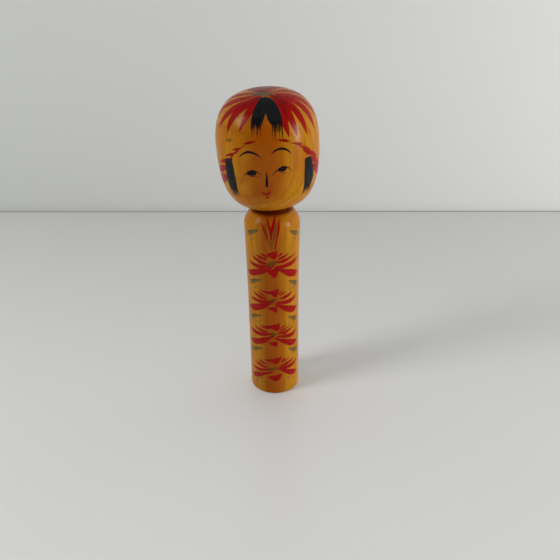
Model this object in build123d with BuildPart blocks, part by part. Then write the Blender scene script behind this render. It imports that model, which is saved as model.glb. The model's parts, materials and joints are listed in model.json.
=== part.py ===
from build123d import *
from math import radians, sin
import os

# A kokeshi doll turned from wood in two pieces.  The head carries its own tenon,
# which plugs into a blind socket in the shoulders and turns there by hand.
# The origin is the centre of the foot, +Z is up and the face looks along -Y.
# All sizes are in millimetres and degrees.

# Body: a straight column that flares a little up to a rounded shoulder.
foot_radius = 19.9
foot_round = 1.2            # softened edge where the foot meets the shelf
straight_height = 72.0      # the column is straight up to here
shoulder_radius = 20.75
shoulder_fullness = 0.47    # 0.55 is a quarter of an ellipse, less is slacker
shoulder_drop = 13.4        # from the top down to where the shoulder starts to round over
top_height = 158.0
ring_width = 0.7            # flat ring left round the seat

# Seat and socket, bored along the neck's axis.
neck_lean = 2.4             # the neck leans this far off upright, towards -X
lip_height = 0.2            # the seat's recess, where it is shallowest
mouth_chamfer = 0.8         # at the socket's mouth

# Head: a wide, full form with a broad underside.
neck_radius = 9.0
head_radius = 35.8
cheek_height = 46.5         # the widest place, above the seat
crown_height = 36.1         # from the widest place to the crown
chin_fullness = 0.77        # along the underside, out of the neck
jowl_fullness = 0.63        # down the side, below the widest place
temple_fullness = 0.65      # up the side, above the widest place
crown_fullness = 0.74       # along the top, into the crown

# Tenon, turned in one piece with the head.
tenon_radius = 6.5
tenon_length = 22.0
tenon_chamfer = 1.2

# Clearances
turning_gap = 0.05          # tenon in socket, on the radius
wax_gap = 0.05              # film of wax between the neck and its seat
seat_gap = 0.3              # neck in its recess, on the radius
socket_end_gap = 1.5        # air left below the tenon
underside_gap = 0.4         # head above the body's flat ring, where they are nearest

# The seat is cut square to the leaning neck, so its recess is deeper on the -X
# side, and the neck is tall enough there to lift the head off the ring.
tilt = sin(radians(neck_lean))
seat_radius = neck_radius + seat_gap
top_radius = seat_radius + ring_width
seat_depth = lip_height + seat_radius * tilt
neck_height = seat_depth + top_radius * tilt + underside_gap

# The neck's frame: its origin is the centre of the neck's lower face, its Z is
# the axis that the head turns on.
seat_height = top_height - seat_depth
neck = Plane(origin=(0, 0, seat_height)).rotated((0, -neck_lean, 0))
neck_axis = Axis(origin=neck.origin, direction=neck.z_dir)
neck_section = Plane(origin=neck.origin, x_dir=neck.x_dir, z_dir=-neck.y_dir)


# --- body: turned about +Z, then bored along the neck's axis ---

shoulder_height = top_height - shoulder_drop

with BuildPart() as body:
    with BuildSketch(Plane.XZ):
        with BuildLine():
            foot = Line((0, 0), (foot_radius - foot_round, 0))
            edge = RadiusArc(foot @ 1, (foot_radius, foot_round), -foot_round)
            column = Line(edge @ 1, (foot_radius, straight_height))
            flare = TangentArc(
                column @ 1, (shoulder_radius, shoulder_height), tangent=column % 1
            )
            rise = shoulder_drop * shoulder_fullness
            inset = (shoulder_radius - top_radius) * shoulder_fullness
            shoulder = Bezier(
                flare @ 1,
                flare @ 1 + (flare % 1) * rise,
                (top_radius + inset, top_height),
                (top_radius, top_height),
            )
            Line(shoulder @ 1, (0, top_height))
            Line((0, top_height), (0, 0))
        make_face()
    revolve(axis=Axis.Z)

    # the recess that the neck stands in, open at the top
    with BuildSketch(neck.offset(-wax_gap)):
        Circle(seat_radius)
    extrude(amount=seat_radius, mode=Mode.SUBTRACT)

    # the socket
    with BuildSketch(neck):
        Circle(tenon_radius + turning_gap)
    extrude(amount=-(tenon_length + socket_end_gap), mode=Mode.SUBTRACT)
    mouth = (
        body.edges()
        .filter_by(GeomType.CIRCLE)
        .sort_by(lambda e: abs(e.radius - tenon_radius) + abs(e.center().Z - seat_height))[0]
    )
    chamfer(mouth, mouth_chamfer)

body.part.label = "body"


# --- head: turned about the neck's axis, tenon included ---

with BuildPart() as head:
    with BuildSketch(neck_section):
        with BuildLine():
            tenon_end = Line((0, -tenon_length), (tenon_radius - tenon_chamfer, -tenon_length))
            tenon_lead = Line(tenon_end @ 1, (tenon_radius, tenon_chamfer - tenon_length))
            tenon_side = Line(tenon_lead @ 1, (tenon_radius, 0))
            neck_face = Line(tenon_side @ 1, (neck_radius, 0))
            neck_side = Line(neck_face @ 1, (neck_radius, neck_height))
            underside = Bezier(
                neck_side @ 1,
                (neck_radius + (head_radius - neck_radius) * chin_fullness, neck_height),
                (head_radius, cheek_height - (cheek_height - neck_height) * jowl_fullness),
                (head_radius, cheek_height),
            )
            dome = Bezier(
                underside @ 1,
                (head_radius, cheek_height + crown_height * temple_fullness),
                (head_radius * crown_fullness, cheek_height + crown_height),
                (0, cheek_height + crown_height),
            )
            Line(dome @ 1, (0, -tenon_length))
        make_face()
    revolve(axis=neck_axis)

head.part.label = "head"


os.makedirs("parts", exist_ok=True)
export_step(body.part, "parts/body.step")
export_step(head.part, "parts/head.step")
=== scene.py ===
import json
from math import acos, cos, radians, sin
from random import Random

import bmesh
import bpy
import numpy as np
from mathutils import Matrix, Vector
from mathutils.bvhtree import BVHTree


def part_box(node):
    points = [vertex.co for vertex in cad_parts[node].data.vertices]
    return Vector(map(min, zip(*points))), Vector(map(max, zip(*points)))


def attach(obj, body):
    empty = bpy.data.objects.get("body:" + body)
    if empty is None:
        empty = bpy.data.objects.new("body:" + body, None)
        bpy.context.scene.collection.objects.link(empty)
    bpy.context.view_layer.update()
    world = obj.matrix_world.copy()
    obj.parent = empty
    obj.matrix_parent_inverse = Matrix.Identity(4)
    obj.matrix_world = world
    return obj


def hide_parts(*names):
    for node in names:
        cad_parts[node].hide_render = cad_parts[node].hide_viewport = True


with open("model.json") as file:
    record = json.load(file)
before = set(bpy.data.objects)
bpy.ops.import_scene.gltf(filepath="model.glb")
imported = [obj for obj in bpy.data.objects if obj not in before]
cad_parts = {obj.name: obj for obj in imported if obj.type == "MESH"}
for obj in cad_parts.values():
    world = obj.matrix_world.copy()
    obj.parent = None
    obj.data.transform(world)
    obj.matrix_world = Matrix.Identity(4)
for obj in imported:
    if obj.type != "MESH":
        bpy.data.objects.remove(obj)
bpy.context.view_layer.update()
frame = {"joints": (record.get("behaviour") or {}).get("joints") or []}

# A kokeshi doll: a turned body and a turned head that plugs into it, both painted by brush.
# The doll is made in millimetres, and MM turns each finished piece into the frame's metres.
# The camera, the room and the windows are in metres from the start.
MM = 0.001

# ---------------------------------------------------------------- sizes

neck_joint = frame["joints"][0]
neck_place = Vector(neck_joint["pos_m"]) / MM
neck_axis = Vector(neck_joint["axis"]).normalized()
neck_lean = acos(neck_axis.z)

body_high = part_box("body")[1] / MM
head_low, head_high = (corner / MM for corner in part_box("head"))

# Head, from the neck's foot up
NECK_RADIUS = 9.0
NECK_HEIGHT = 1.41
NECK_MIDDLE = 0.7        # where the distances up the head's surface start
HEAD_RADIUS = (head_high.y - head_low.y) / 2
CHEEK_HEIGHT = 46.5
CROWN_HEIGHT = 36.1
CHIN_FULLNESS = 0.77
JOWL_FULLNESS = 0.63
TEMPLE_FULLNESS = 0.65
CROWN_FULLNESS = 0.74

# Tenon under the head
TENON_RADIUS = 6.5
TENON_LENGTH = 22.0
TENON_CHAMFER = 1.2

# Body, from the foot up
FOOT_RADIUS = 19.9
FOOT_ROUND = 1.2
STRAIGHT_HEIGHT = 72.0
SHOULDER_RADIUS = 20.75
SHOULDER_DROP = 13.4
SHOULDER_FULLNESS = 0.47
TOP_HEIGHT = body_high.z
SHOULDER_HEIGHT = TOP_HEIGHT - SHOULDER_DROP

# Seat and socket, with their clearances
SEAT_GAP = 0.3
RING_WIDTH = 0.7
WAX_GAP = 0.05
TURNING_GAP = 0.05
SOCKET_END_GAP = 1.5
MOUTH_CHAMFER = 0.8
SEAT_RADIUS = NECK_RADIUS + SEAT_GAP
TOP_RADIUS = SEAT_RADIUS + RING_WIDTH
SOCKET_RADIUS = TENON_RADIUS + TURNING_GAP
SOCKET_DEPTH = TENON_LENGTH + SOCKET_END_GAP
BORE_TOP = 4.0           # above the seat, well clear of the body's top

# How finely the wood is cut up to carry the paint: the cuts in a wedge in front and in one behind,
# and the steps along each stretch of the outline
WEDGE = 40               # degrees; five wedges face forward and four face back
HEAD_CUTS = (60, 28)
BODY_CUTS = (36, 14)
CORNER_STEPS = 6
COLUMN_STEPS = 157
FLARE_STEPS = 160
SHOULDER_STEPS = 42
UNDERSIDE_STEPS = 110
DOME_STEPS = 112
WELD = 0.0005            # points this close are one
CRISP_ANGLE = 35         # degrees; edges that turn further stay sharp

# ---------------------------------------------------------------- camera, room and light

CAMERA_PLACE = (0, -0.3876, 0.3001)
CAMERA_TURN = -0.79      # degrees
CAMERA_TIP = 27.79       # degrees down
CAMERA_ROLL = -0.73      # degrees
CAMERA_LENS = 36.06
CAMERA_SENSOR = 36.0

BACK_EDGE = 0.402        # from the doll back to the table's edge
WALL_GAP = 0.005         # from there to the wall
ROOM_ASKEW = -2.7        # degrees
ROOM_SIZE = 3.0
TABLE_THICKNESS = 0.03
TABLE_ROUND = 0.004
WALL_MIDDLE = 1.4        # its height, so that the wall's foot is below the table's top
SEAM_SHADE_DEPTH = 0.0015      # below the table's top

# The table's colours are painted light and shade: lighter near the doll, darker towards the back.
TABLE_NEAR_LIT = (0.83, 0.84, 0.83, 1)
TABLE_FAR_SHADED = (0.66, 0.667, 0.66, 1)
# The wall's colours are painted light and shade: darker on the left, lighter towards the right window.
WALL_LEFT_SHADED = (0.67, 0.685, 0.66, 1)
WALL_RIGHT_LIT = (0.785, 0.785, 0.775, 1)
# The seam's grey is painted shade in the gap behind the table.
SEAM_SHADE = (0.34, 0.34, 0.34, 1)

ROOM_LIGHT = (1.0, 0.99, 0.975, 1)
WINDOW_DISTANCE = 1.6
WINDOW_AIM = Vector((0, 0, 0.15))


def set_camera():
    """The camera stands in front of the doll, a little above its head, and looks down at it."""
    data = bpy.data.cameras.new("camera")
    data.sensor_width = CAMERA_SENSOR
    data.lens = CAMERA_LENS
    camera = bpy.data.objects.new("camera", data)
    bpy.context.collection.objects.link(camera)
    turn = Matrix.Rotation(radians(CAMERA_TURN), 4, "Z")
    tip = Matrix.Rotation(radians(90 - CAMERA_TIP), 4, "X")
    roll = Matrix.Rotation(radians(CAMERA_ROLL), 4, "Z")
    camera.matrix_world = Matrix.Translation(CAMERA_PLACE) @ turn @ tip @ roll
    bpy.context.scene.camera = camera


def plain(name, colour, roughness):
    """A plain finish."""
    material = bpy.data.materials.new(name)
    material.use_nodes = True
    shader = material.node_tree.nodes["Principled BSDF"]
    shader.inputs["Base Color"].default_value = colour
    shader.inputs["Roughness"].default_value = roughness
    return material


def faded(name, way, reach, start, end, roughness):
    """A plain finish that goes from one colour to another along a direction on the floor plan."""
    material = plain(name, start, roughness)
    tree = material.node_tree
    place = add(tree, "ShaderNodeTexCoord").outputs["Object"]
    across = add(tree, "ShaderNodeVectorMath", {"operation": "DOT_PRODUCT"}, i0=place,
                 i1=(*way, 0)).outputs["Value"]
    colour = mixed(tree, eased(tree, across, *reach), start, end)
    tree.links.new(colour, tree.nodes["Principled BSDF"].inputs["Base Color"])
    return material


def room_piece(mesh, name, material):
    """Turns part of the room a little askew to the doll and finishes it."""
    askew = Matrix.Rotation(radians(ROOM_ASKEW), 4, "Z")
    bmesh.ops.transform(mesh, verts=mesh.verts, matrix=askew)
    return finish_mesh(mesh, name, material)


def make_table():
    """A pale table with a rounded back edge, painted lighter in front and darker towards the back: painted
    light and shade.
    """
    mesh = bmesh.new()
    bmesh.ops.create_cube(mesh, size=1)
    bmesh.ops.scale(mesh, verts=mesh.verts, vec=(ROOM_SIZE, ROOM_SIZE, TABLE_THICKNESS))
    bmesh.ops.translate(mesh, verts=mesh.verts, vec=(0, BACK_EDGE - ROOM_SIZE / 2, -TABLE_THICKNESS / 2))
    edge = [edge for edge in mesh.edges if all(v.co.y > 0 and v.co.z > -MM for v in edge.verts)]
    bmesh.ops.bevel(mesh, geom=edge, offset=TABLE_ROUND, segments=5, profile=0.5, affect="EDGES",
                    material=-1)
    return room_piece(mesh, "table", faded("table", (0.25, 1), (-0.35, 0.42), TABLE_NEAR_LIT, TABLE_FAR_SHADED, 0.30))


def make_wall():
    """A pale wall just behind the table, painted darker on the left and lighter on the right: painted
    shade and painted light from the right window.
    """
    mesh = bmesh.new()
    bmesh.ops.create_grid(mesh, x_segments=1, y_segments=1, size=ROOM_SIZE / 2)
    bmesh.ops.rotate(mesh, verts=mesh.verts, matrix=Matrix.Rotation(radians(90), 3, "X"))
    bmesh.ops.translate(mesh, verts=mesh.verts, vec=(0, BACK_EDGE + WALL_GAP, WALL_MIDDLE))
    return room_piece(mesh, "wall", faded("wall", (1, 0), (-0.5, 0.5), WALL_LEFT_SHADED, WALL_RIGHT_LIT, 0.9))


def make_seam_shade():
    """A grey sheet under the gap between the table and the wall: painted shade for the dark line that
    shows there.
    """
    mesh = bmesh.new()
    bmesh.ops.create_grid(mesh, x_segments=1, y_segments=1, size=ROOM_SIZE / 2)
    bmesh.ops.translate(mesh, verts=mesh.verts, vec=(0, BACK_EDGE + WALL_GAP - ROOM_SIZE / 2, -SEAM_SHADE_DEPTH))
    return room_piece(mesh, "painted shade behind the table", plain("seam", SEAM_SHADE, 0.9))


def window(name, azimuth, elevation, width, height, watts, shadow):
    """A soft window light that looks at the middle of the doll."""
    data = bpy.data.lights.new(name, "AREA")
    data.shape = "RECTANGLE"
    data.size = width
    data.size_y = height
    data.energy = watts
    data.use_shadow = shadow
    a, e = radians(azimuth), radians(elevation)
    way = Vector((sin(a) * cos(e), -cos(a) * cos(e), sin(e)))
    lamp = bpy.data.objects.new(name, data)
    lamp.location = WINDOW_AIM + way * WINDOW_DISTANCE
    lamp.rotation_euler = way.to_track_quat("Z", "Y").to_euler()
    bpy.context.collection.objects.link(lamp)


def set_light():
    """Pale light all round, dimmer in front of the doll, and a window on each side."""
    world = bpy.data.worlds.new("room")
    world.use_nodes = True
    bpy.context.scene.world = world
    tree = world.node_tree
    way = add(tree, "ShaderNodeTexCoord").outputs["Generated"]
    split = add(tree, "ShaderNodeSeparateXYZ", Vector=way)
    front = add(tree, "ShaderNodeMapRange", {"interpolation_type": "SMOOTHERSTEP"},
                Value=split.outputs["Y"], From_Min=-0.95, From_Max=-0.35, To_Min=0.035, To_Max=0.402)
    background = tree.nodes["Background"]
    background.inputs["Color"].default_value = ROOM_LIGHT
    tree.links.new(front.outputs["Result"], background.inputs["Strength"])
    window("left_window", -70, 32, width=0.44, height=0.60, watts=10, shadow=True)
    window("right_window", 68, 10, width=0.38, height=0.60, watts=15, shadow=False)


# ---------------------------------------------------------------- turning the wood


def curve(start, start_handle, end_handle, end, steps):
    """Points along a cubic curve, without its start."""
    p0, p1, p2, p3 = (Vector(p) for p in (start, start_handle, end_handle, end))
    t = [(n + 1) / steps for n in range(steps)]
    return [
        tuple((1 - u) ** 3 * p0 + 3 * (1 - u) ** 2 * u * p1 + 3 * (1 - u) * u * u * p2 + u ** 3 * p3)
        for u in t
    ]


def straight(start, end, steps):
    """Points along a line, without its start."""
    a, b = Vector(start), Vector(end)
    return [tuple(a.lerp(b, (n + 1) / steps)) for n in range(steps)]


def body_outline():
    """(radius, height) up the body, from the foot's rounded edge to the flat ring at the top."""
    corner = [
        (FOOT_RADIUS - FOOT_ROUND + FOOT_ROUND * sin(a), FOOT_ROUND - FOOT_ROUND * cos(a))
        for a in (radians(90 / CORNER_STEPS * n) for n in range(1, CORNER_STEPS + 1))
    ]
    column = straight((FOOT_RADIUS, FOOT_ROUND), (FOOT_RADIUS, STRAIGHT_HEIGHT), COLUMN_STEPS)
    flare = SHOULDER_RADIUS - FOOT_RADIUS
    flare_rise = SHOULDER_HEIGHT - STRAIGHT_HEIGHT
    flared = [
        (FOOT_RADIUS + flare * (n / FLARE_STEPS) ** 2, STRAIGHT_HEIGHT + flare_rise * n / FLARE_STEPS)
        for n in range(1, FLARE_STEPS + 1)
    ]
    lean_out = 2 * flare / flare_rise
    rise = (TOP_HEIGHT - SHOULDER_HEIGHT) * SHOULDER_FULLNESS
    inset = (SHOULDER_RADIUS - TOP_RADIUS) * SHOULDER_FULLNESS
    shoulder = curve(
        (SHOULDER_RADIUS, SHOULDER_HEIGHT),
        (SHOULDER_RADIUS + lean_out * rise, SHOULDER_HEIGHT + rise),
        (TOP_RADIUS + inset, TOP_HEIGHT),
        (TOP_RADIUS, TOP_HEIGHT),
        SHOULDER_STEPS,
    )
    return corner + column + flared + shoulder


def head_outline():
    """(radius, height above the neck's foot) up the head, from half way up the neck."""
    neck = [(NECK_RADIUS, NECK_MIDDLE), (NECK_RADIUS, NECK_HEIGHT)]
    underside = curve(
        (NECK_RADIUS, NECK_HEIGHT),
        (NECK_RADIUS + (HEAD_RADIUS - NECK_RADIUS) * CHIN_FULLNESS, NECK_HEIGHT),
        (HEAD_RADIUS, CHEEK_HEIGHT - (CHEEK_HEIGHT - NECK_HEIGHT) * JOWL_FULLNESS),
        (HEAD_RADIUS, CHEEK_HEIGHT),
        UNDERSIDE_STEPS,
    )
    dome = curve(
        (HEAD_RADIUS, CHEEK_HEIGHT),
        (HEAD_RADIUS, CHEEK_HEIGHT + CROWN_HEIGHT * TEMPLE_FULLNESS),
        (HEAD_RADIUS * CROWN_FULLNESS, CHEEK_HEIGHT + CROWN_HEIGHT),
        (0, CHEEK_HEIGHT + CROWN_HEIGHT),
        DOME_STEPS,
    )
    return neck + underside + dome


def spun(outline, cuts):
    """Spins (radius, height) points round +Z, cutting the front more finely than the back."""
    front_cuts, back_cuts = cuts
    mesh = bmesh.new()
    for first, wedges, steps in ((-190, 5, front_cuts), (10, 4, back_cuts)):
        start = radians(first)
        before = [len(mesh.verts), len(mesh.edges), len(mesh.faces)]
        line = [mesh.verts.new((r * cos(start), r * sin(start), h)) for r, h in outline]
        edges = [mesh.edges.new(pair) for pair in zip(line, line[1:])]
        bmesh.ops.spin(mesh, geom=line + edges, cent=(0, 0, 0), axis=(0, 0, 1),
                       angle=radians(WEDGE), steps=steps)
        wedge = []
        for kind, count in zip((mesh.verts, mesh.edges, mesh.faces), before):
            kind.ensure_lookup_table()
            wedge += kind[count:]
        bmesh.ops.spin(mesh, geom=wedge, cent=(0, 0, 0), axis=(0, 0, 1), use_duplicate=True,
                       angle=radians(WEDGE * (wedges - 1)), steps=wedges - 1)
    bmesh.ops.remove_doubles(mesh, verts=mesh.verts, dist=WELD)
    return mesh


def lean(mesh):
    """Moves what was turned about +Z onto the neck's leaning axis."""
    matrix = Matrix.Translation(neck_place) @ Matrix.Rotation(-neck_lean, 4, "Y")
    bmesh.ops.transform(mesh, matrix=matrix, verts=mesh.verts)


def finish_mesh(mesh, name, material):
    """Makes an object of a bmesh, with its normals outwards and its corners crisp."""
    bmesh.ops.recalc_face_normals(mesh, faces=mesh.faces)
    for face in mesh.faces:
        face.smooth = True
    data = bpy.data.meshes.new(name)
    mesh.to_mesh(data)
    mesh.free()
    data.set_sharp_from_angle(angle=radians(CRISP_ANGLE))
    data.materials.append(material)
    piece = bpy.data.objects.new(name, data)
    bpy.context.collection.objects.link(piece)
    return piece


def turn_head():
    """The head with its neck and tenon, turned in one piece."""
    tenon = [
        (0, -TENON_LENGTH),
        (TENON_RADIUS - TENON_CHAMFER, -TENON_LENGTH),
        (TENON_RADIUS, TENON_CHAMFER - TENON_LENGTH),
        (TENON_RADIUS, 0),
        (NECK_RADIUS, 0),
    ]
    mesh = spun(tenon + head_outline(), HEAD_CUTS)
    lean(mesh)
    return mesh


def bore_socket():
    """The wall of the seat and the socket, cut off level with the top of the body."""
    bore = spun([
        (SEAT_RADIUS, BORE_TOP),
        (SEAT_RADIUS, -WAX_GAP),
        (SOCKET_RADIUS + MOUTH_CHAMFER, -WAX_GAP),
        (SOCKET_RADIUS, -WAX_GAP - MOUTH_CHAMFER),
        (SOCKET_RADIUS, -SOCKET_DEPTH),
        (0, -SOCKET_DEPTH),
    ], BODY_CUTS)
    lean(bore)
    bmesh.ops.bisect_plane(
        bore,
        geom=bore.verts[:] + bore.edges[:] + bore.faces[:],
        plane_co=(0, 0, TOP_HEIGHT),
        plane_no=(0, 0, 1),
        clear_outer=True,
    )
    return bore


def turn_body():
    """The body, turned upright, with the leaning seat and socket let into its top."""
    sole = [(radius, 0) for radius in (0, 5, 10, 15, FOOT_RADIUS - FOOT_ROUND)]
    mesh = spun(sole + body_outline(), BODY_CUTS)
    bore = bore_socket()
    held = bpy.data.meshes.new("bore")
    bore.to_mesh(held)
    bore.free()
    mesh.from_mesh(held)
    bpy.data.meshes.remove(held)
    rims = [edge for edge in mesh.edges if edge.is_boundary]
    bmesh.ops.bridge_loops(mesh, edges=rims)
    return mesh


# ---------------------------------------------------------------- laying the paint on
#
# A stroke is a list of points and the brush's width at even stations along it.  A point is
# (degrees round from the face, millimetres up the surface), so it reads like a flattened label.

REACH = 2.5              # how far outside a stroke or a shape its edge is still followed
SPACING = 0.5            # between the points along a stroke's middle
SOFT_EDGE = 0.5          # a stroke's load of colour builds up over this much of its edge
WHOLE = 0.98             # how far a stroke's share runs, under 1 so that its number stays plain


class Surface:
    """A turned piece as the painter sees it."""

    def __init__(self, mesh, outline, leaning):
        mesh.normal_update()
        self.points = np.array([vert.co for vert in mesh.verts])
        self.normals = np.array([vert.normal for vert in mesh.verts])
        self.tree = BVHTree.FromBMesh(mesh)
        self.outline = np.array(outline)
        steps = np.linalg.norm(np.diff(self.outline, axis=0), axis=1)
        self.up = np.concatenate(([0], np.cumsum(steps)))
        self.leaning = leaning
        self.chart = self.flattened()
        self.paints = {}

    def flattened(self):
        """(mm round from the face, mm up the surface) for each vertex."""
        local = self.points
        if self.leaning:
            upright = np.array(Matrix.Rotation(neck_lean, 3, "Y"))
            local = (self.points - np.array(neck_place)) @ upright.T
        radius = np.hypot(local[:, 0], local[:, 1])
        angle = np.arctan2(local[:, 0], -local[:, 1])
        profile = np.stack((radius, local[:, 2]), 1)
        rows = [np.linalg.norm(self.outline - spot, axis=1).argmin() for spot in profile]
        return np.stack((angle * radius, self.up[rows]), 1)

    def place(self, angle, up):
        """The point on the wood at an angle round from the face and a distance up the surface."""
        radius = np.interp(up, self.up, self.outline[:, 0])
        height = np.interp(up, self.up, self.outline[:, 1])
        a = radians(angle)
        point = Vector((radius * sin(a), -radius * cos(a), height))
        if self.leaning:
            point = neck_place + Matrix.Rotation(-neck_lean, 3, "Y") @ point
        return point

    def spine(self, marks):
        """A smooth line through the marks, pressed onto the wood."""
        knots = [self.place(*mark) for mark in marks]
        knots = [2 * knots[0] - knots[1]] + knots + [2 * knots[-1] - knots[-2]]
        line = []
        for a, b, c, d in zip(knots, knots[1:], knots[2:], knots[3:]):
            pieces = max(2, round((c - b).length / SPACING))
            for n in range(pieces):
                t = n / pieces
                line.append(
                    0.5 * (2 * b + (c - a) * t + (2 * a - 5 * b + 4 * c - d) * t * t
                           + (3 * b - a - 3 * c + d) * t ** 3)
                )
        line.append(knots[-2])
        return np.array([self.tree.find_nearest(point)[0] for point in line])

    def layer(self, paint):
        """What has been laid of one paint so far."""
        if paint not in self.paints:
            count = len(self.points)
            self.paints[paint] = {
                "edge": np.full(count, REACH),
                "load": np.zeros(count),
                "flow": np.zeros((count, 3)),
                "strokes": 0,
            }
        return self.paints[paint]

    def lay(self, paint, near, outside, across, along, share):
        """Adds a stroke or a shape, wherever the wood is deeper in it than in what was laid before.

        near are the points of the wood close to it.  For each of them come how far it lies outside
        the edge, where across and along the brush it is, and the share of the stroke done there.
        """
        layer = self.layer(paint)
        layer["load"][near] += (0.5 - outside / SOFT_EDGE).clip(0, 1)
        nearer = outside < layer["edge"][near]
        chosen = near[nearer]
        flow = np.stack((across, along, layer["strokes"] + WHOLE * share), 1)
        layer["edge"][chosen] = outside[nearer]
        layer["flow"][chosen] = flow[nearer]
        layer["strokes"] += 1

    def stroke(self, paint, marks, widths):
        """Lays one stroke of the brush."""
        line = self.spine(marks)
        runs = np.diff(line, axis=0)
        lengths = np.linalg.norm(runs, axis=1)
        along = np.concatenate(([0], np.cumsum(lengths)))
        stations = np.linspace(0, along[-1], len(widths))
        halves = np.interp(along, stations, widths) / 2
        low = line.min(axis=0) - halves.max() - REACH
        high = line.max(axis=0) + halves.max() + REACH
        near = np.flatnonzero(((self.points > low) & (self.points < high)).all(axis=1))
        away = self.points[near][:, None, :] - line[None, :-1, :]
        share = ((away * runs).sum(axis=2) / lengths ** 2).clip(0, 1)
        offset = away - share[:, :, None] * runs
        half = halves[:-1] + share * np.diff(halves)
        outside = np.linalg.norm(offset, axis=2) - half
        best = outside.argmin(axis=1)
        rows = np.arange(len(near))
        side = np.cross(self.normals[near], runs[best])
        side /= np.linalg.norm(side, axis=1)[:, None] + 1e-9
        across = (offset[rows, best] * side).sum(axis=1)
        travelled = along[best] + share[rows, best] * lengths[best]
        self.lay(paint, near, outside[rows, best], across, travelled, travelled / along[-1])

    def strokes(self, paint, strokes):
        """Lays several strokes, in order."""
        for marks, widths in strokes:
            self.stroke(paint, marks, widths)

    def patch(self, paint, corners, used):
        """Fills a shape by brushing downwards, which uses up a share of the brush's load."""
        angles, ups = np.array(corners, float).T
        outline = np.stack((np.radians(angles) * np.interp(ups, self.up, self.outline[:, 0]), ups), 1)
        low = outline.min(axis=0) - REACH
        high = outline.max(axis=0) + REACH
        near = np.flatnonzero(((self.chart > low) & (self.chart < high)).all(axis=1))
        spots = self.chart[near]
        ends = np.roll(outline, -1, axis=0)
        runs = ends - outline
        away = spots[:, None, :] - outline
        share = ((away * runs).sum(axis=2) / (runs ** 2).sum(axis=1)).clip(0, 1)
        outside = np.linalg.norm(away - share[:, :, None] * runs, axis=2).min(axis=1)
        x, y = spots[:, :1], spots[:, 1:]
        straddles = (outline[:, 1] > y) != (ends[:, 1] > y)
        rise = np.where(runs[:, 1] == 0, 1, runs[:, 1])
        crossing = outline[:, 0] + (y - outline[:, 1]) * runs[:, 0] / rise
        inside = (straddles & (x < crossing)).sum(axis=1) % 2 == 1
        outside = np.where(inside, -outside, outside)
        drawn = ((ups.max() - spots[:, 1]) / (ups.max() - ups.min())).clip(0, 1)
        self.lay(paint, near, outside, spots[:, 0], spots[:, 1], used * drawn)

    def keep(self, data):
        """Stores the painting on the mesh, for the materials to read."""
        for paint, layer in self.paints.items():
            for name in ("edge", "load"):
                held = data.attributes.new(f"{paint}_{name}", "FLOAT", "POINT")
                held.data.foreach_set("value", layer[name].astype(np.float32))
            held = data.attributes.new(f"{paint}_flow", "FLOAT_VECTOR", "POINT")
            held.data.foreach_set("vector", layer["flow"].astype(np.float32).ravel())
        data.update()


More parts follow.
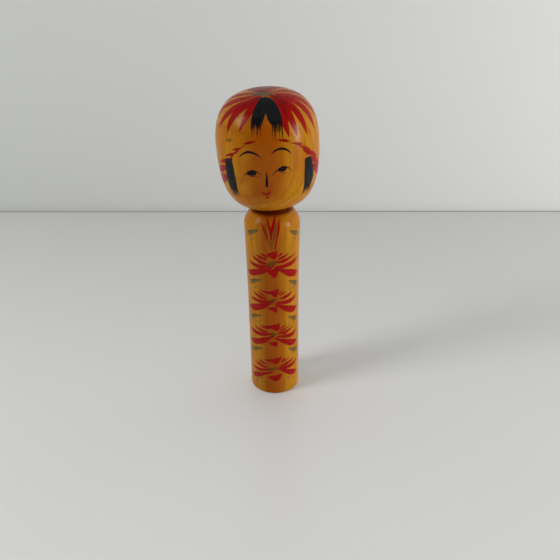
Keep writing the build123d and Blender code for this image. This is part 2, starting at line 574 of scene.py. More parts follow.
# Petals of each flower, left of its middle and then right of it: (points, widths).
PETALS = [
    # top flower
    ([(-27, 127.6), (-20, 126.6), (-12, 125.4)], (0.5, 1.9, 1.6)),
    ([(-40, 126), (-28, 124.6), (-15, 123.3)], (0.3, 2.4, 1.9)),
    ([(-50, 124.3), (-35, 121.9), (-22, 120.2), (-14, 120.2)], (0.3, 2.4, 3.4, 1.8)),
    ([(-61, 118.7), (-45, 117.2), (-28, 116.8), (-8, 117.9)], (0.4, 2.8, 3.4, 2.9, 1.6)),
    ([(-70, 108.7), (-55, 109.1), (-38, 111.3), (-18, 114), (-4, 116.8), (3, 119)],
     (0.4, 4.9, 5.4, 4.6, 2.1, 1.3)),
    ([(22, 128), (11, 125.8)], (0.5, 1.7, 1.3)),
    ([(36, 126.5), (24, 124.8), (12, 123.4)], (0.3, 1.4, 2.4, 1.6)),
    ([(52, 124.1), (38, 122.7), (22, 121.2), (8, 120.8)], (0.5, 2.3, 3.1, 1.8)),
    ([(65, 120.3), (52, 118.8), (38, 117.6), (22, 117), (8, 117.1)], (0.4, 3.1, 4.0, 3.1, 1.6)),
    ([(67, 108.4), (55, 108), (40, 109.9), (25, 112.6), (12, 115), (4, 116.4)],
     (0.4, 5.4, 6.2, 4.6, 2.6, 1.5)),
    # second flower
    ([(-28, 97), (-18, 95.8), (-7, 95.4)], (0.4, 2.3, 3.2)),
    ([(-37, 95), (-28, 93.8), (-18, 92.3)], (0.3, 1.7, 1.4)),
    ([(-50, 93.7), (-38, 91.6), (-24, 90.3), (-16, 90.3)], (0.3, 2.4, 2.9, 1.6)),
    ([(-60, 87.2), (-45, 87.3), (-30, 86.9), (-14, 87.8), (-4, 88.8)], (0.4, 2.8, 3.2, 2.5, 1.5)),
    ([(-69, 78.6), (-52, 79.3), (-36, 81.5), (-20, 84), (-8, 86.2), (1, 88)],
     (0.4, 5.2, 5.7, 4.9, 2.9, 1.5)),
    ([(21, 96.4), (12, 94.9)], (0.3, 1.4, 1.2)),
    ([(29, 95.3), (14, 93.1)], (0.3, 1.6, 1.2)),
    ([(47, 93.1), (32, 91.2), (16, 89.9)], (0.3, 2.3, 3.0, 1.6)),
    ([(62, 88.9), (48, 86.8), (34, 86), (20, 86.2), (8, 86.9)], (0.4, 2.9, 4.0, 3.1, 1.5)),
    ([(65, 77.8), (52, 77.2), (38, 78.9), (24, 81.4), (12, 84), (4, 85.6)],
     (0.4, 5.2, 5.9, 4.6, 2.9, 1.5)),
    # third flower
    ([(-36, 64.9), (-22, 63.9), (-10, 64.2)], (0.3, 1.7, 2.4)),
    ([(-27, 65.6), (-12, 65.3)], (0.3, 2.0)),
    ([(-49, 63.2), (-38, 61.6), (-25, 60.5), (-17, 60.5)], (0.3, 2.2, 2.5, 1.6)),
    ([(-67, 58.2), (-50, 57.3), (-35, 57.1), (-20, 57.9), (-5, 59)], (0.4, 3.7, 3.7, 2.8, 1.5)),
    ([(-69, 47), (-52, 47.8), (-36, 50), (-20, 52.8), (-8, 55.4), (1, 57.8)],
     (0.4, 5.2, 5.4, 5.2, 3.0, 1.5)),
    ([(29, 65.5), (14, 63.5)], (0.3, 1.4, 1.2)),
    ([(37, 63.6), (26, 62.4), (14, 61.4)], (0.3, 1.4, 1.3)),
    ([(50, 61.6), (38, 60.4), (26, 59.1), (11, 59.1)], (0.3, 2.0, 3.4, 1.8)),
    ([(62, 57.1), (48, 54.9), (36, 54.6), (22, 55.6), (8, 56.1)], (0.4, 3.4, 4.0, 2.9, 1.5)),
    ([(64, 46.7), (50, 46.4), (36, 48.5), (22, 51.1), (10, 53.1), (2, 54.9)],
     (0.4, 5.2, 5.7, 4.5, 2.9, 1.5)),
    # bottom flower
    ([(-45, 31.4), (-34, 30.5), (-21, 29.3)], (0.3, 2.3, 1.3)),
    ([(-52, 29), (-40, 27.4), (-28, 26.4), (-18, 26.6)], (0.3, 2.6, 2.6, 1.6)),
    ([(-64, 22.4), (-50, 22), (-36, 22.2), (-22, 23.4), (-8, 24.7)], (0.4, 2.6, 3.2, 2.5, 1.5)),
    ([(-69, 13.8), (-56, 14.2), (-42, 16.6), (-28, 18.9), (-14, 20.8), (-5, 22)],
     (0.4, 4.6, 4.8, 3.5, 2.1, 1.3)),
    ([(28, 34.5), (16, 32.8)], (0.3, 1.4, 1.3)),
    ([(38, 33.8), (28, 32.2), (16, 31.1)], (0.3, 1.6, 1.2)),
    ([(52, 31), (40, 29.8), (26, 28.5), (14, 27.7)], (0.5, 2.6, 3.0, 1.6)),
    ([(64, 28.1), (52, 26.1), (40, 25.2), (26, 25.4), (12, 26.1)], (0.4, 3.6, 4.0, 2.8, 1.3)),
    ([(64, 16.9), (52, 16.7), (40, 18.7), (28, 21.3), (16, 24), (8, 25.5)],
     (0.4, 4.9, 5.4, 4.3, 2.9, 1.5)),
]

# A mossy dab in each flower's middle, from the top flower down.
FLOWER_MIDDLES = [
    ([(-14, 118.2), (-6, 119.4), (3, 120.8), (10, 121.6)], (1.0, 3.0, 3.2, 1.4)),
    ([(-12, 87.6), (-3, 88.8), (8, 89.8)], (1.0, 3.0, 1.2)),
    ([(-10, 56.0), (-2, 57.8), (8, 58.6)], (0.8, 2.6, 1.0)),
    ([(-17, 24.2), (-6, 24.8), (4, 25.8), (9, 26.8)], (1.0, 3.0, 2.8, 1.0)),
]

# The fan pressed out above and below each flower's middle, by its corners.
FANS = [
    [(-14, 128), (-2, 129.3), (10, 130.2), (9, 126), (5, 123), (1, 123.6), (-8, 125.6)],
    [(-12, 112.6), (-12, 114.4), (-2, 115.4), (7, 115.8), (14, 115.2), (10, 112.6), (9, 109.9),
     (5, 108.2), (1.5, 108), (-2, 109), (-6, 110.6)],
    [(-6, 96.9), (3, 98.2), (12, 98.8), (10, 94), (5, 91.4), (-2, 92.6)],
    [(-15, 81.4), (-8, 83), (8, 83.4), (8, 77.6), (2, 78.6), (-6, 80.4)],
    [(-15, 66.2), (0, 67.4), (14, 68), (12, 62.5), (8, 61), (0, 62.4), (-8, 64)],
    [(-15, 50.5), (1, 51.6), (7, 51.2), (7, 46.6), (0, 46.6), (-8, 48.6)],
    [(-26, 33.4), (0, 35.4), (18, 36.8), (13, 33), (9, 30.4), (1, 29.6), (-6, 31.4), (-15, 32)],
    [(-18, 16.6), (-10, 18), (0, 18.6), (18, 20.2), (14, 16), (8, 13.4), (2, 12.4), (-6, 13.6)],
]

# Leaves at the sides, down the body: broad ones of four points and sprigs of two or three.
LEAVES = [
    ([(-28, 145.6), (-42, 143.6), (-56, 141.0), (-67, 138.6)], (0.6, 2.5, 3.9, 1.0)),
    ([(-39, 138.4), (-49, 136.4), (-57, 134.8)], (0.3, 0.8, 0.3)),
    ([(37, 144.0), (50, 141.4), (62, 139.0), (70, 137.6)], (0.6, 2.8, 4.2, 1.0)),
    ([(45, 138.2), (60, 135.0)], (0.3, 0.8, 0.3)),
    ([(-25, 105.9), (-42, 103.6), (-58, 100.8), (-68, 99.0)], (0.6, 2.5, 3.9, 1.0)),
    ([(-36, 99.2), (-52, 96.0)], (0.3, 0.8, 0.3)),
    ([(36, 103.6), (50, 100.6), (62, 97.6), (69, 96.0)], (0.6, 3.1, 4.5, 1.0)),
    ([(45, 97.4), (60, 94.0)], (0.3, 0.7, 0.3)),
    ([(-29, 74.6), (-44, 72.6), (-58, 70.0), (-68, 68.0)], (0.6, 2.2, 3.6, 1.0)),
    ([(-38, 68.6), (-52, 65.6)], (0.3, 0.7, 0.3)),
    ([(34, 72.2), (48, 69.4), (62, 66.9), (69, 65.4)], (0.6, 2.8, 4.2, 1.0)),
    ([(42, 67.0), (56, 63.8)], (0.3, 0.7, 0.3)),
    ([(-29, 44.2), (-44, 41.8), (-58, 39.2), (-68, 37.2)], (0.6, 2.5, 3.6, 1.0)),
    ([(36, 42.0), (50, 39.2), (62, 37.0), (69, 35.6)], (0.6, 3.1, 4.5, 1.0)),
    ([(44, 37.4), (57, 34.2)], (0.3, 0.7, 0.3)),
    ([(-28, 15.0), (-40, 13.2), (-48, 11.6)], (0.3, 1.1, 0.3)),
    ([(-17, 12.5), (-32, 10.0)], (0.3, 1.1, 0.3)),
    ([(-44, 10.2), (-60, 7.6)], (0.3, 1.0, 0.3)),
    ([(29, 14.6), (45, 11.6)], (0.3, 1.1, 0.3)),
    ([(47, 12.2), (60, 9.0)], (0.3, 0.7, 0.3)),
]

# Mossy strokes between the collar's folds.
COLLAR_UNDER = [
    ([(-17, 151.2), (-12.5, 146.5), (-9.5, 141), (-8, 136)], (0.5, 1.2, 1.2, 0.5)),
    ([(10, 151.6), (6, 146), (3.6, 141), (1, 136), (-1, 132)], (0.5, 1.6, 1.7, 1.2, 0.6)),
    ([(-5, 140), (-4, 136), (-4, 131.8)], (0.5, 1.3, 0.8)),
]

# The crossed collar, from the neck down to the top flower.
COLLAR = [
    ([(-22, 151), (-17, 147), (-12.5, 142), (-9.5, 137)], (0.5, 1.4, 1.2, 0.3)),
    ([(-13, 156.4), (-8.5, 151), (-5, 147), (-3, 143)], (0.5, 1.4, 1.7, 1.0)),
    ([(8, 157.4), (4, 152), (0.5, 147.5), (-2.4, 143), (-2.6, 137.4)], (0.5, 1.9, 2.3, 1.8, 0.6)),
    ([(17, 154), (14, 150), (11.5, 145), (9, 140), (6.6, 135), (5, 130.4)],
     (0.5, 1.6, 1.8, 1.2, 1.2, 0.7)),
]

# Rays of dye from the crown, left of the forelock and then right of it.
RAYS = [
    ([(-30.5, 74.8), (-26, 81), (-20.5, 88), (-14, 95), (-8, 101)], (0.3, 3.4, 5.2, 4.4, 1.8)),
    ([(-47.5, 73), (-44.5, 80), (-39.5, 86), (-31, 90.8), (-20, 95), (-9, 100.6)],
     (0.3, 4.0, 5.2, 4.8, 3.4, 1.4)),
    ([(-65.5, 75.6), (-59, 81.5), (-52, 86.5), (-42, 91.7), (-29, 95.6), (-12, 100.8)],
     (0.4, 4.0, 5.4, 5.0, 3.6, 1.4)),
    ([(-82, 79), (-75, 87.6), (-65, 92.4), (-53, 96), (-38, 98.9), (-16, 102.4)],
     (0.5, 3.8, 5.2, 5.0, 3.8, 1.6)),
    ([(-99, 79), (-93, 88.6), (-84, 95.6), (-72, 100), (-56, 103), (-32, 105)],
     (0.5, 3.6, 4.8, 4.4, 3.4, 1.2)),
    ([(24, 70.2), (22.4, 76), (21.6, 82), (21.6, 89), (20.5, 96), (12, 102)],
     (0.3, 3.8, 5.4, 6.0, 5.0, 2.0)),
    ([(33.6, 70), (32, 76), (30, 82), (27.5, 88.5), (24.5, 95.5), (15, 101.6)],
     (0.3, 3.8, 5.2, 6.0, 5.4, 2.0)),
    ([(47.6, 69.6), (46, 75.5), (43, 82), (38.5, 89), (31, 95.5), (18, 101.6)],
     (0.4, 4.2, 5.4, 5.8, 5.0, 1.8)),
    ([(64, 71), (62, 77.5), (59, 83.5), (53, 89.8), (44, 95.4), (26, 101.4)],
     (0.4, 4.0, 5.2, 5.2, 4.2, 1.6)),
    ([(81, 75), (76, 83.5), (69, 90.5), (60, 95.9), (46, 100), (26, 103)],
     (0.5, 3.8, 5.2, 5.4, 4.4, 2.0)),
    ([(98, 78), (94, 87.4), (88, 95.2), (78, 101), (62, 104.6), (34, 105.6)],
     (0.5, 3.8, 5.2, 5.4, 4.6, 2.0)),
]

# Ribbons of small leaves over each temple, left and then right.
RIBBONS = [
    ([(-11.5, 69.9), (-18, 68.8), (-27, 68.0)], (0.5, 1.9, 0.4)),
    ([(-20, 68.2), (-28, 65.4), (-36, 61.8), (-42, 58.0)], (0.5, 0.5, 0.5, 1.0)),
    ([(-27, 65.6), (-33, 64.1), (-41, 63.4)], (0.6, 2.0, 0.4)),
    ([(-32, 62.8), (-40, 60.6), (-54, 58.0)], (0.5, 2.1, 0.4)),
    ([(-41, 57.4), (-50, 55.5), (-59, 53.9), (-67, 52.2)], (1.0, 2.8, 2.5, 0.4)),
    ([(-50, 50.8), (-58, 49.4), (-68, 47.2), (-76, 45.6)], (1.8, 4.2, 4.8, 1.2)),
    ([(-52, 43.4), (-61, 42.2), (-71, 39.4), (-80, 36.4)], (2.5, 6.0, 6.5, 1.8)),
    ([(11, 69.9), (18, 69.0), (26, 68.2)], (0.6, 2.0, 0.4)),
    ([(14, 69.2), (25, 66.8), (34, 64.6), (42, 60.0), (47, 56.6)], (0.4, 0.5, 0.6, 1.0)),
    ([(27, 66.8), (33, 65.6), (41, 64.4)], (0.4, 1.9, 0.4)),
    ([(34, 64.2), (43, 61.8), (52, 59.6)], (0.5, 2.2, 0.4)),
    ([(40, 60.6), (50, 57.6), (58, 55.4), (67, 52.6)], (0.9, 3.2, 2.8, 0.4)),
    ([(50, 54.0), (60, 51.4), (70, 47.8), (79, 45.0)], (1.6, 4.0, 4.0, 0.6)),
    ([(55, 47.6), (64, 45.2), (74, 41.2), (83, 37.6)], (2.6, 5.8, 5.4, 0.8)),
]

# Brows, then each eye's lid, pupil and lower lid, then the nose.
FACE = [
    ([(-32, 59.0), (-26, 61.7), (-20, 62.9), (-13, 61.9), (-5.4, 58.6)], (0.35, 1.2, 1.7, 1.2, 0.3)),
    ([(3.4, 61.2), (8, 63.3), (13.8, 64.2), (20, 63), (26.6, 59.2)], (0.35, 1.3, 1.8, 1.1, 0.3)),
    ([(-28.6, 46.4), (-24, 48.9), (-18.4, 50.6), (-12.6, 50.0), (-6.6, 47.4)], (0.4, 0.8, 1.1, 0.8, 0.4)),
    ([(-21.6, 48.8), (-15.2, 48.9)], (2.6, 3.1, 2.6)),
    ([(-24, 47.4), (-17, 46.6), (-9.6, 46.9)], (0.2, 0.5, 0.3)),
    ([(3.2, 47.2), (9, 50.4), (15, 52.3), (20.6, 51.4), (26.6, 48.2)], (0.4, 0.8, 1.1, 0.8, 0.4)),
    ([(12.0, 50.5), (17.2, 50.8)], (2.6, 3.2, 2.6)),
    ([(9, 48.5), (16, 48.0), (23, 48.6)], (0.2, 0.5, 0.3)),
    ([(-2.2, 50.4), (-2.5, 46), (-2.8, 42), (-3.0, 39.8)], (0.25, 1.1, 1.9, 1.8)),
]

# The mouth, and the dot below it.
MOUTH = [
    ([(-8.9, 35.2), (-6.7, 34.1), (-4.1, 33.5), (-1.6, 34.1), (0.4, 35.6)], (1.1, 1.7, 2.0, 1.7, 1.0)),
    ([(-3.9, 30.9), (-3.4, 30.8)], (2.0, 2.0)),
]

# Forelock, parted at the bottom, and the side locks: (share of the brush's load used, outline).
LOCKS = [
    (1.0, [(-8, 99.8), (-11, 96), (-13.6, 92), (-15.4, 88), (-16.4, 84), (-17, 78), (-16.6, 73),
           (-6, 73), (-4.6, 77), (-2.6, 81.6), (0.4, 87), (2.6, 82.6), (5.4, 78), (8, 72.6),
           (10, 69.6), (18, 69.6), (19.4, 76), (19, 84), (17.8, 91), (15, 95.6), (11, 99.2),
           (2, 100.6)]),
    (0.84, [(-53, 56), (-54.6, 50), (-55, 44), (-55, 36), (-50, 33), (-45, 31), (-41, 30.6),
            (-40, 38), (-39.6, 44), (-40, 50), (-41.4, 57.6), (-47, 57.2)]),
    (0.84, [(42, 54.6), (42, 50), (42, 45), (42.8, 39), (44, 32), (46, 28.8), (50, 29.6), (56, 32),
            (60, 37.4), (59.6, 42), (57.6, 47), (54.6, 52), (52, 55), (47, 55.2)]),
]

# A touch of green on the left temple.
TEMPLE_TOUCH = ([(-50, 68.8), (-43, 69.2), (-36, 70.4)], (0.4, 1.8, 0.5))

# The green patch on the crown, where the rays meet.
CROWN_PATCH = ([(-32, 104.4), (-10, 104.6), (10, 104.6), (22, 105.4)], (2.2, 4.8, 4.8, 1.6))

# A fine drying crack by the right eye.
DRYING_CRACK = ([(32, 64), (33.5, 56), (33, 48)], (0.10, 0.30, 0.10))


def paint_hair_ends(head, chance):
    """Single hairs that the dry brush leaves below the forelock and the side locks."""
    hairs = 20
    for first, last, top, shortest, longest in (
        (-16.4, -5, 82.5, 3, 11),
        (6, 18, 79.5, 3, 12),
        (-54, -41, 36.5, 2, 8),
        (44, 58, 33.5, 2, 7),
    ):
        middle = (first + last) / 2
        for n in range(hairs):
            angle = first + (last - first) * (n + chance.random()) / hairs
            spread = (angle - middle) * 0.08
            length = chance.uniform(shortest, longest)
            width = chance.uniform(0.25, 0.75)
            middle_mark = (angle + spread / 2, top - length / 2)
            marks = [(angle, top + 1.5), middle_mark, (angle + spread, top - length)]
            head.stroke("line", marks, (width, width * 0.9, 0.12))


def paint_crown_back(head, chance):
    """Rays round the back of the crown, drawn over its top to where those in front meet."""
    rays = 9
    first = 116
    apart = 16
    for n in range(rays):
        angle = first + n * apart + chance.uniform(-2, 2)
        tip = 78 + chance.uniform(-1.5, 1.5)
        meet = (-5 + chance.uniform(-8, 8), 106.5)
        marks = [(angle, tip + rise) for rise in (0, 9, 18, 27)] + [meet]
        head.stroke("red", marks, (0.4, 3.6, 5.2, 5.6, 5.8, 4.6, 1.6))


def paint_head(mesh):
    """Paints the hair, the ribbons and the face."""
    head = Surface(mesh, head_outline(), True)
    for paint, strokes in (
        ("red", RAYS),
        ("red", RIBBONS),
        ("line", FACE),
        ("red", MOUTH),
        ("green", [TEMPLE_TOUCH]),
        ("leaf", [CROWN_PATCH]),
        ("check", [DRYING_CRACK]),
    ):
        head.strokes(paint, strokes)
    for used, outline in LOCKS:
        head.patch("ink", outline, used)
    paint_hair_ends(head, Random(5))
    paint_crown_back(head, Random(11))
    return head


def paint_leaf_edges(body):
    """A thin dark stroke along the upper edge of each broad leaf."""
    for marks, widths in LEAVES:
        if len(marks) == 4:
            edge = [(angle, up + 0.42 * width) for (angle, up), width in zip(marks, widths)]
            body.stroke("moss", edge, (0.4, 0.9, 1.1, 0.4))


def paint_body(mesh):
    """Paints the flowers, the leaves, the collar and the ring round the neck, whose depth and soft lower
    edge are partly painted shade under the head.
    """
    body = Surface(mesh, [(FOOT_RADIUS, 0)] + body_outline()[CORNER_STEPS:], False)
    for paint, strokes in (
        ("red", PETALS),
        ("moss", FLOWER_MIDDLES),
        ("green", LEAVES),
        ("moss", COLLAR_UNDER),
        ("red", COLLAR),
    ):
        body.strokes(paint, strokes)
    paint_leaf_edges(body)
    for outline in FANS:
        body.patch("red", outline, 0.5)
    # A dark purple-red ring round the neck, right under the head: partly a painted ring, partly painted
    # shade where the head overhangs; its lower edge fades softly into the shoulder.
    neck_ring_and_shade = [(15 * n, 160.9) for n in range(25)]
    body.stroke("plum_and_neck_shade", neck_ring_and_shade, (8.2, 8.2))
    return body


# ---------------------------------------------------------------- finishes


def add(tree, kind, settings=(), **inputs):
    """Adds a node.

    An input is a value or another node's output.  It is given by its name, with _ for a space,
    or as i0, i1 and so on by its number.
    """
    made = tree.nodes.new(kind)
    for name, value in dict(settings).items():
        setattr(made, name, value)
    for name, value in inputs.items():
        key = int(name[1:]) if name[1:].isdigit() else name.replace("_", " ")
        connect(tree, value, made.inputs[key])
    return made


def connect(tree, value, socket):
    """Gives a socket a value, or links another node's output to it."""
    if isinstance(value, bpy.types.NodeSocket):
        tree.links.new(value, socket)
    else:
        socket.default_value = value


def maths(tree, operation, *values, clamp=False):
    """A Math node's output."""
    inputs = {f"i{n}": value for n, value in enumerate(values)}
    return add(tree, "ShaderNodeMath", {"operation": operation, "use_clamp": clamp}, **inputs).outputs[0]


def eased(tree, value, low, high, to_low=0.0, to_high=1.0):
    """value carried smoothly from low..high to to_low..to_high."""
    made = add(tree, "ShaderNodeMapRange", {"interpolation_type": "SMOOTHSTEP"}, Value=value,
               From_Min=low, From_Max=high, To_Min=to_low, To_Max=to_high)
    return made.outputs["Result"]


def mixed(tree, share, a, b):
    """Colour a changed towards colour b."""
    made = add(tree, "ShaderNodeMix", {"data_type": "RGBA"})
    for index, value in ((0, share), (6, a), (7, b)):
        connect(tree, value, made.inputs[index])
    return made.outputs[2]


def noise(tree, vector, detail=2.0, roughness=0.5):
    """Soft noise from 0 to 1, with a grain of about one unit of the vector."""
    made = add(tree, "ShaderNodeTexNoise", Vector=vector, Scale=1.0, Detail=detail, Roughness=roughness)
    return made.outputs["Fac"]


def new_group(name, inputs, outputs):
    """An empty node group with named sockets; gives the group, its inputs and its output node's."""
    group = bpy.data.node_groups.new(name, "ShaderNodeTree")
    kinds = {"colour": "NodeSocketColor", "value": "NodeSocketFloat", "vector": "NodeSocketVector"}
    for label, kind in inputs.items():
        group.interface.new_socket(label, in_out="INPUT", socket_type=kinds[kind])
    for label, kind in outputs.items():
        group.interface.new_socket(label, in_out="OUTPUT", socket_type=kinds[kind])
    given = group.nodes.new("NodeGroupInput").outputs
    result = group.nodes.new("NodeGroupOutput").inputs
    return group, given, result


def stretched(tree, across, along):
    """Object coordinates times a number for each millimetre across and along the trunk."""
    place = add(tree, "ShaderNodeTexCoord").outputs["Object"]
    scale = (across / MM, across / MM, along / MM)
    return add(tree, "ShaderNodeMapping", Vector=place, Scale=scale).outputs["Vector"]


def centred(tree, value):
    """A noise's value, moved to lie about nought."""
    return maths(tree, "SUBTRACT", value, 0.5)


YEAR_WIDTH = 1.7         # mm of wood for half a year ring
RING_DRIFT = 5.0         # mm that the rings wander by
# The dark band down the middle is partly heartwood and partly painted shade, where the front faces away
# from both windows.
HEART_AND_SHADE_EDGE = 3.0         # mm from the dark band's middle, where its colour is full
HEART_AND_SHADE_RAGGED = 9.0       # mm that the grain pushes the dark band's edge about


def make_wood_grain_and_shade():
    """Stained straight grain with a darker band down the middle, partly heartwood and partly painted
    shade: the colour, and how deep the pores lie.
    """
    group, given, result = new_group(
        "amber wood grain and painted shade",
        {"Pale": "colour", "Middle": "colour", "Dark": "colour", "Pith X": "value", "Pith Y": "value",
         "Heart X": "value", "Heart Width": "value", "Heart Foot": "value"},
        {"Color": "colour", "Grain": "value"},
    )
    split = add(group, "ShaderNodeSeparateXYZ", Vector=stretched(group, 1, 1))
    drift = noise(group, stretched(group, 0.03, 0.006))
    streak = noise(group, stretched(group, 1.3, 0.022), 4.0, 0.65)
    fine = noise(group, stretched(group, 4.5, 0.10), 2.0, 0.6)
    blotch = noise(group, stretched(group, 0.06, 0.030), 3.0, 0.6)

    x = maths(group, "SUBTRACT", split.outputs["X"], given["Pith X"])
    y = maths(group, "SUBTRACT", split.outputs["Y"], given["Pith Y"])
    flat = add(group, "ShaderNodeCombineXYZ", X=x, Y=y).outputs[0]
    from_pith = add(group, "ShaderNodeVectorMath", {"operation": "LENGTH"}, i0=flat).outputs["Value"]
    age = maths(group, "MULTIPLY_ADD", drift, RING_DRIFT, from_pith)
    year = maths(group, "PINGPONG", maths(group, "DIVIDE", age, YEAR_WIDTH), 1.0)
    late_wood = eased(group, year, 0.45, 1.0)
    grain = maths(group, "MULTIPLY_ADD", late_wood, 0.10, maths(group, "MULTIPLY", streak, 0.6))
    grain = maths(group, "MULTIPLY_ADD", fine, 0.3, grain)

    # the darker band: partly heartwood, partly painted shade down the front, away from the windows
    aside = maths(group, "ABSOLUTE", maths(group, "SUBTRACT", split.outputs["X"], given["Heart X"]))
    aside = maths(group, "MULTIPLY_ADD", centred(group, streak), HEART_AND_SHADE_RAGGED, aside)
    heart = eased(group, aside, given["Heart Width"], HEART_AND_SHADE_EDGE, 0.0, 0.80)
    above = maths(group, "SUBTRACT", split.outputs["Z"], given["Heart Foot"])
    heart = maths(group, "MULTIPLY", heart, eased(group, above, 0.0, 14.0))

    tone = mixed(group, eased(group, blotch, 0.38, 0.62), given["Middle"], given["Pale"])
    tone = mixed(group, eased(group, grain, 0.36, 0.66, 0.0, 0.62), tone, given["Dark"])
    tone = mixed(group, heart, tone, given["Dark"])
    connect(group, tone, result["Color"])
    connect(group, grain, result["Grain"])
    return group


def make_brushed_paint():
    """Thin colour laid by a brush: it streaks with the bristles, pools at the rim and dries out.

    Flow holds where across and along the brush a point is, and the stroke's number plus how much
    of the stroke is done there.
    """
    group, given, result = new_group(
        "brushed paint",
        {"Under": "colour", "Thin": "colour", "Deep": "colour", "Edge": "value", "Load": "value",
         "Flow": "vector", "Feather": "value", "Strength": "value", "Dryness": "value"},
        {"Color": "colour", "Mask": "value"},
    )
    flow = add(group, "ShaderNodeSeparateXYZ", Vector=given["Flow"]).outputs
    bristle_place = add(
        group, "ShaderNodeCombineXYZ",
        X=maths(group, "MULTIPLY", flow["X"], 1.9),
        Y=maths(group, "MULTIPLY", flow["Y"], 0.10),
        Z=maths(group, "MULTIPLY", maths(group, "FLOOR", flow["Z"]), 3.7),
    ).outputs[0]
    bristles = noise(group, bristle_place, 3.0, 0.6)
    ragged = noise(group, stretched(group, 1.1, 1.1))
    soak = noise(group, stretched(group, 0.35, 0.12))

    # bristles lift off as the brush runs dry, and the edge draws in
    spent = eased(group, maths(group, "FRACT", flow["Z"]), 0.40, 0.80)
    spent = maths(group, "MULTIPLY", spent, given["Dryness"])
    lifted = maths(group, "SUBTRACT", maths(group, "MULTIPLY", spent, 0.75), bristles)
    edge = maths(group, "MULTIPLY_ADD", centred(group, ragged), 0.30, given["Edge"])
    edge = maths(group, "MULTIPLY_ADD", maths(group, "MAXIMUM", lifted, -0.2), 2.0,
                 maths(group, "ADD", edge, 0.40))
    feather = given["Feather"]
    cover = eased(group, edge, feather, maths(group, "MULTIPLY", feather, -1.0))
    cover = maths(group, "MULTIPLY", cover, eased(group, lifted, 0.0, 0.12, 1.0, 0.0))

    # the colour is deeper where strokes lap, at the rim, under a bristle and where the wood drinks
    lapped = maths(group, "SUBTRACT", given["Load"], 1.0, clamp=True)
    rim = eased(group, edge, -0.9, -0.15)
    depth = maths(group, "MULTIPLY_ADD", lapped, 0.6, maths(group, "MULTIPLY", rim, 0.25))
    depth = maths(group, "MULTIPLY_ADD", maths(group, "SUBTRACT", 0.62, bristles), 0.9, depth)
    depth = maths(group, "MULTIPLY_ADD", centred(group, soak), 0.5, depth, clamp=True)
    colour = mixed(group, depth, given["Thin"], given["Deep"])
    share = maths(group, "MULTIPLY", cover, given["Strength"], clamp=True)
    connect(group, mixed(group, share, given["Under"], colour), result["Color"])
    connect(group, share, result["Mask"])
    return group


def make_lathe_marks():
    """Faint rings that the turning tool left, a few dents, and where handling has rubbed the wax."""
    group, given, result = new_group(
        "lathe marks", {"Lean": "value"}, {"Height": "value", "Rub": "value"}
    )
    split = add(group, "ShaderNodeSeparateXYZ", Vector=stretched(group, 1, 1))
    up = maths(group, "MULTIPLY_ADD", split.outputs["X"], given["Lean"], split.outputs["Z"])
    wander = noise(group, stretched(group, 0.08, 0.08))
    up = maths(group, "MULTIPLY_ADD", wander, 0.8, up)
    ring_place = add(group, "ShaderNodeCombineXYZ", Z=maths(group, "MULTIPLY", up, 1.3)).outputs[0]
    rings = noise(group, ring_place, 3.0)
    waves = noise(group, stretched(group, 0.11, 0.05))
    dents = eased(group, noise(group, stretched(group, 0.35, 0.3), 1.0), 0.24, 0.34)
    height = maths(group, "MULTIPLY_ADD", rings, 0.35, maths(group, "MULTIPLY", waves, 1.4))
    height = maths(group, "MULTIPLY_ADD", dents, 0.35, height)
    connect(group, height, result["Height"])
    connect(group, noise(group, stretched(group, 0.16, 0.10), 4.0, 0.7), result["Rub"])
    return group


GRAIN_AND_SHADE = make_wood_grain_and_shade()
PAINT = make_brushed_paint()
LATHE = make_lathe_marks()

GOLDEN = (0.51, 0.222, 0.006, 1)
AMBER = (0.47, 0.160, 0.003, 1)
OCHRE = (0.45, 0.180, 0.005, 1)
RUSSET = (0.31, 0.055, 0.0015, 1)

PAINTS = {
    # thin colour, deep colour, feather, strength, dryness
    "red": ((0.33, 0.002, 0.002, 1), (0.14, 0.0005, 0.001, 1), 0.18, 0.995, 0.4),
    "ink": ((0.010, 0.011, 0.012, 1), (0.003, 0.004, 0.006, 1), 0.18, 1.0, 0.95),
    "line": ((0.010, 0.006, 0.006, 1), (0.004, 0.003, 0.004, 1), 0.16, 1.0, 0.0),
    "green": ((0.105, 0.088, 0.028, 1), (0.018, 0.026, 0.009, 1), 0.6, 0.88, 0.8),
    "moss": ((0.085, 0.050, 0.008, 1), (0.018, 0.016, 0.004, 1), 0.5, 0.75, 0.6),
    "leaf": ((0.09, 0.095, 0.050, 1), (0.040, 0.050, 0.030, 1), 0.7, 0.85, 0.3),
    "check": ((0.14, 0.040, 0.002, 1), (0.10, 0.025, 0.002, 1), 0.15, 0.7, 0.0),
    # the neck ring's purple-red is deepened with painted shade from the head
    "plum_and_neck_shade": ((0.11, 0.007, 0.003, 1), (0.045, 0.003, 0.002, 1), 1.6, 0.94, 0.0),
}


def brushed(tree, paint, under):
    """One paint's node, laid over the colour under it."""
    thin, deep, feather, strength, dryness = PAINTS[paint]
    edge, load, flow = (
        add(tree, "ShaderNodeAttribute", {"attribute_name": f"{paint}_{part}"}).outputs
        for part in ("edge", "load", "flow")
    )
    return add(tree, "ShaderNodeGroup", {"node_tree": PAINT}, Under=under, Thin=thin, Deep=deep,
               Edge=edge["Fac"], Load=load["Fac"], Flow=flow["Vector"],
               Feather=feather, Strength=strength, Dryness=dryness)


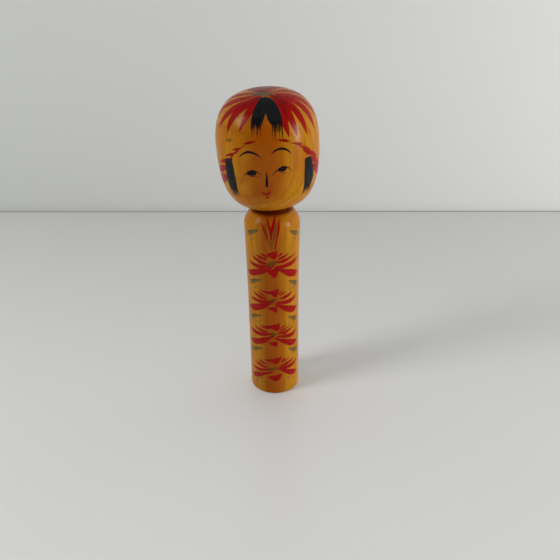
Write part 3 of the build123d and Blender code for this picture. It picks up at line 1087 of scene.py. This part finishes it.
def waxed_wood(name, paints, ground, pith, heart, ring_lean):
    """Stained wood with brushed paints over it, in order, under one coat of wax.

    pith is the middle of the trunk's year rings on the floor plan, and the argument after it gives where
    the dark band up the wood lies, how wide it is and the height that it starts from, in millimetres. That
    band is partly heartwood and partly painted shade down the front.
    """
    material = bpy.data.materials.new(name)
    material.use_nodes = True
    tree = material.node_tree
    shader = tree.nodes["Principled BSDF"]
    grain = add(tree, "ShaderNodeGroup", {"node_tree": GRAIN_AND_SHADE}, Pale=GOLDEN, Middle=ground, Dark=RUSSET,
                Pith_X=pith[0], Pith_Y=pith[1], Heart_X=heart[0], Heart_Width=heart[1],
                Heart_Foot=heart[2])
    colour = grain.outputs["Color"]
    painted = 0.0
    for paint in paints:
        layer = brushed(tree, paint, colour)
        colour = layer.outputs["Color"]
        painted = maths(tree, "MAXIMUM", painted, layer.outputs["Mask"])
    marks = add(tree, "ShaderNodeGroup", {"node_tree": LATHE}, Lean=ring_lean)
    worn = eased(tree, marks.outputs["Rub"], 0.3, 0.75, 0.18, 0.28)
    pores = maths(tree, "MULTIPLY_ADD", grain.outputs["Grain"], -0.35, marks.outputs["Height"])
    bump = add(tree, "ShaderNodeBump", Strength=0.35, Distance=0.00012, Height=pores)
    connect(tree, colour, shader.inputs["Base Color"])
    connect(tree, maths(tree, "MULTIPLY_ADD", painted, 0.05, worn), shader.inputs["Roughness"])
    connect(tree, bump.outputs["Normal"], shader.inputs["Normal"])
    connect(tree, 0.10, shader.inputs["Specular IOR Level"])
    connect(tree, 1.45, shader.inputs["IOR"])
    return material


# ---------------------------------------------------------------- making the doll


def make_piece(name, mesh, painter, material, node):
    """Paints a turned piece, finishes it and puts it in its CAD node's place."""
    surface = painter(mesh)
    bmesh.ops.scale(mesh, verts=mesh.verts, vec=(MM, MM, MM))
    piece = finish_mesh(mesh, name, material)
    surface.keep(piece.data)
    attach(piece, node)
    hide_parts(node)


def make_head():
    wood = waxed_wood("painted_head", ("red", "green", "leaf", "check", "ink", "line"), AMBER,
                      pith=(9.0, 12.0), heart=(-4.0, 17.0, 166.0), ring_lean=-sin(neck_lean))
    make_piece("painted_head", turn_head(), paint_head, wood, "head")


def make_body():
    wood = waxed_wood("painted_body", ("plum_and_neck_shade", "red", "moss", "green"), OCHRE,
                      pith=(-14.0, 6.0), heart=(-1.0, 12.0, -20.0), ring_lean=0.0)
    make_piece("painted_body", turn_body(), paint_body, wood, "body")


set_camera()
make_table()
make_wall()
make_seam_shade()
set_light()
bpy.context.scene.view_settings.view_transform = "Standard"
make_head()
make_body()
